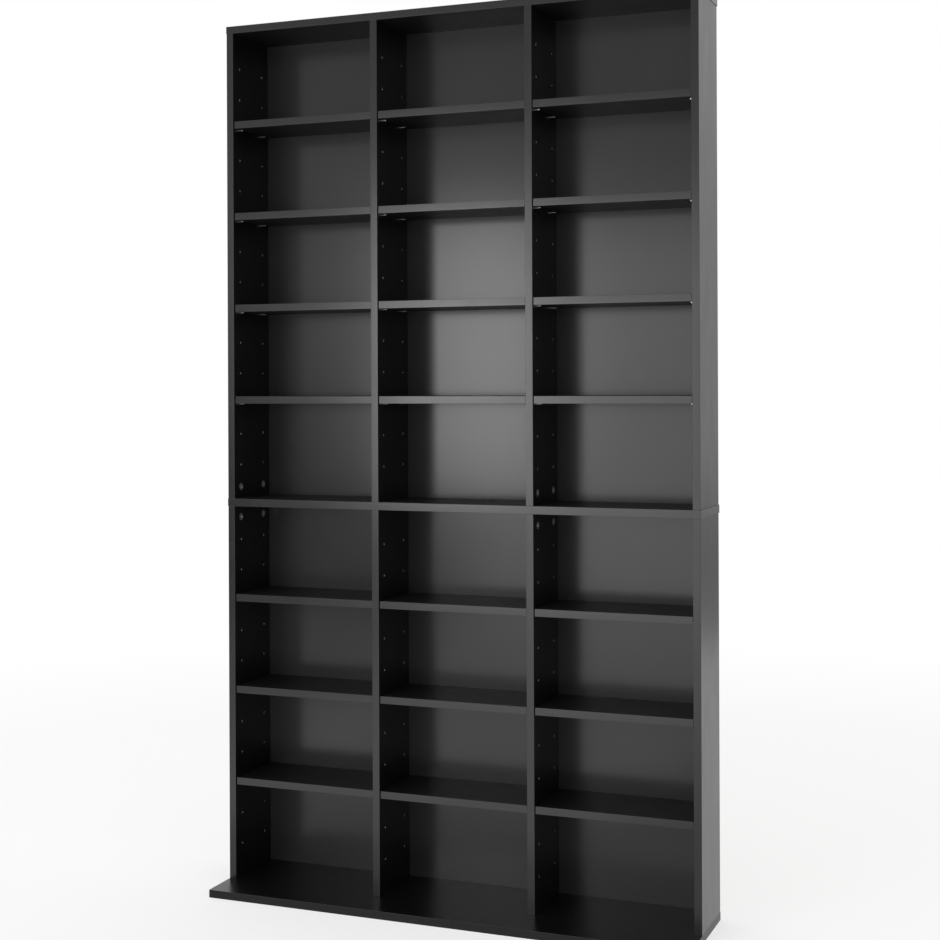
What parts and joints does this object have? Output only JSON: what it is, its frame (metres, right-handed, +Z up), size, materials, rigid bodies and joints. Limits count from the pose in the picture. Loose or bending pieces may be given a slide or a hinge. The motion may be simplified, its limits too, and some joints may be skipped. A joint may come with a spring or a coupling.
{
  "type": "cd cabinet",
  "caption": "Tall shallow open cabinet for disc cases: columns of compartments between loose shelves on pins, a fixed middle board and a base that stands out in front.",
  "frame": {"origin": "on the floor, under the middle of the overall width and depth", "axes": "+Z up, +X to the right seen from the front, +Y from the open front to the back"},
  "size_m": [1.01, 0.237, 1.801],
  "materials": {
    "black_board": "satin black melamine face and edges on particle board",
    "back_board": "satin black lacquer on the front of thin hardboard, bare brown behind",
    "pin_steel": "turned, flat on top, nickel plated",
    "cam_zinc": "die cast, bright",
    "bolt_steel": "zinc plated",
    "dowel_wood": "bare beech",
    "screw_steel": "zinc plated",
    "nail_steel": "bright drawn wire"
  },
  "bodies": {
    "cabinet": {"base_board": "black_board", "mid_board": "black_board", "top_board": "black_board", "left_side_lower": "black_board", "left_side_upper": "black_board", "left_divider_lower": "black_board", "left_divider_upper": "black_board", "right_divider_lower": "black_board", "right_divider_upper": "black_board", "right_side_lower": "black_board", "right_side_upper": "black_board", "left_lower_back": "back_board", "left_upper_back": "back_board", "middle_lower_back": "back_board", "middle_upper_back": "back_board", "right_lower_back": "back_board", "right_upper_back": "back_board", "shelf_pins": "pin_steel", "cams": "cam_zinc", "cam_bolts": "bolt_steel", "dowels": "dowel_wood", "assembly_screws": "screw_steel", "back_nails": "nail_steel"},
    "left_lower_shelf_1": {"left_lower_shelf_1": "black_board"},
    "left_lower_shelf_2": {"left_lower_shelf_2": "black_board"},
    "left_lower_shelf_3": {"left_lower_shelf_3": "black_board"},
    "left_upper_shelf_1": {"left_upper_shelf_1": "black_board"},
    "left_upper_shelf_2": {"left_upper_shelf_2": "black_board"},
    "left_upper_shelf_3": {"left_upper_shelf_3": "black_board"},
    "left_upper_shelf_4": {"left_upper_shelf_4": "black_board"},
    "middle_lower_shelf_1": {"middle_lower_shelf_1": "black_board"},
    "middle_lower_shelf_2": {"middle_lower_shelf_2": "black_board"},
    "middle_lower_shelf_3": {"middle_lower_shelf_3": "black_board"},
    "middle_upper_shelf_1": {"middle_upper_shelf_1": "black_board"},
    "middle_upper_shelf_2": {"middle_upper_shelf_2": "black_board"},
    "middle_upper_shelf_3": {"middle_upper_shelf_3": "black_board"},
    "middle_upper_shelf_4": {"middle_upper_shelf_4": "black_board"},
    "right_lower_shelf_1": {"right_lower_shelf_1": "black_board"},
    "right_lower_shelf_2": {"right_lower_shelf_2": "black_board"},
    "right_lower_shelf_3": {"right_lower_shelf_3": "black_board"},
    "right_upper_shelf_1": {"right_upper_shelf_1": "black_board"},
    "right_upper_shelf_2": {"right_upper_shelf_2": "black_board"},
    "right_upper_shelf_3": {"right_upper_shelf_3": "black_board"},
    "right_upper_shelf_4": {"right_upper_shelf_4": "black_board"}
  },
  "joints": [
    {"name": "left_lower_shelf_1_draws_out", "type": "slide", "parent": "cabinet", "child": "left_lower_shelf_1", "axis": [0, -1, 0], "range_m": [0, 0.15]},
    {"name": "left_lower_shelf_2_draws_out", "type": "slide", "parent": "cabinet", "child": "left_lower_shelf_2", "axis": [0, -1, 0], "range_m": [0, 0.15]},
    {"name": "left_lower_shelf_3_draws_out", "type": "slide", "parent": "cabinet", "child": "left_lower_shelf_3", "axis": [0, -1, 0], "range_m": [0, 0.15]},
    {"name": "left_upper_shelf_1_draws_out", "type": "slide", "parent": "cabinet", "child": "left_upper_shelf_1", "axis": [0, -1, 0], "range_m": [0, 0.15]},
    {"name": "left_upper_shelf_2_draws_out", "type": "slide", "parent": "cabinet", "child": "left_upper_shelf_2", "axis": [0, -1, 0], "range_m": [0, 0.15]},
    {"name": "left_upper_shelf_3_draws_out", "type": "slide", "parent": "cabinet", "child": "left_upper_shelf_3", "axis": [0, -1, 0], "range_m": [0, 0.15]},
    {"name": "left_upper_shelf_4_draws_out", "type": "slide", "parent": "cabinet", "child": "left_upper_shelf_4", "axis": [0, -1, 0], "range_m": [0, 0.15]},
    {"name": "middle_lower_shelf_1_draws_out", "type": "slide", "parent": "cabinet", "child": "middle_lower_shelf_1", "axis": [0, -1, 0], "range_m": [0, 0.15]},
    {"name": "middle_lower_shelf_2_draws_out", "type": "slide", "parent": "cabinet", "child": "middle_lower_shelf_2", "axis": [0, -1, 0], "range_m": [0, 0.15]},
    {"name": "middle_lower_shelf_3_draws_out", "type": "slide", "parent": "cabinet", "child": "middle_lower_shelf_3", "axis": [0, -1, 0], "range_m": [0, 0.15]},
    {"name": "middle_upper_shelf_1_draws_out", "type": "slide", "parent": "cabinet", "child": "middle_upper_shelf_1", "axis": [0, -1, 0], "range_m": [0, 0.15]},
    {"name": "middle_upper_shelf_2_draws_out", "type": "slide", "parent": "cabinet", "child": "middle_upper_shelf_2", "axis": [0, -1, 0], "range_m": [0, 0.15]},
    {"name": "middle_upper_shelf_3_draws_out", "type": "slide", "parent": "cabinet", "child": "middle_upper_shelf_3", "axis": [0, -1, 0], "range_m": [0, 0.15]},
    {"name": "middle_upper_shelf_4_draws_out", "type": "slide", "parent": "cabinet", "child": "middle_upper_shelf_4", "axis": [0, -1, 0], "range_m": [0, 0.15]},
    {"name": "right_lower_shelf_1_draws_out", "type": "slide", "parent": "cabinet", "child": "right_lower_shelf_1", "axis": [0, -1, 0], "range_m": [0, 0.15]},
    {"name": "right_lower_shelf_2_draws_out", "type": "slide", "parent": "cabinet", "child": "right_lower_shelf_2", "axis": [0, -1, 0], "range_m": [0, 0.15]},
    {"name": "right_lower_shelf_3_draws_out", "type": "slide", "parent": "cabinet", "child": "right_lower_shelf_3", "axis": [0, -1, 0], "range_m": [0, 0.15]},
    {"name": "right_upper_shelf_1_draws_out", "type": "slide", "parent": "cabinet", "child": "right_upper_shelf_1", "axis": [0, -1, 0], "range_m": [0, 0.15]},
    {"name": "right_upper_shelf_2_draws_out", "type": "slide", "parent": "cabinet", "child": "right_upper_shelf_2", "axis": [0, -1, 0], "range_m": [0, 0.15]},
    {"name": "right_upper_shelf_3_draws_out", "type": "slide", "parent": "cabinet", "child": "right_upper_shelf_3", "axis": [0, -1, 0], "range_m": [0, 0.15]},
    {"name": "right_upper_shelf_4_draws_out", "type": "slide", "parent": "cabinet", "child": "right_upper_shelf_4", "axis": [0, -1, 0], "range_m": [0, 0.15]}
  ]
}
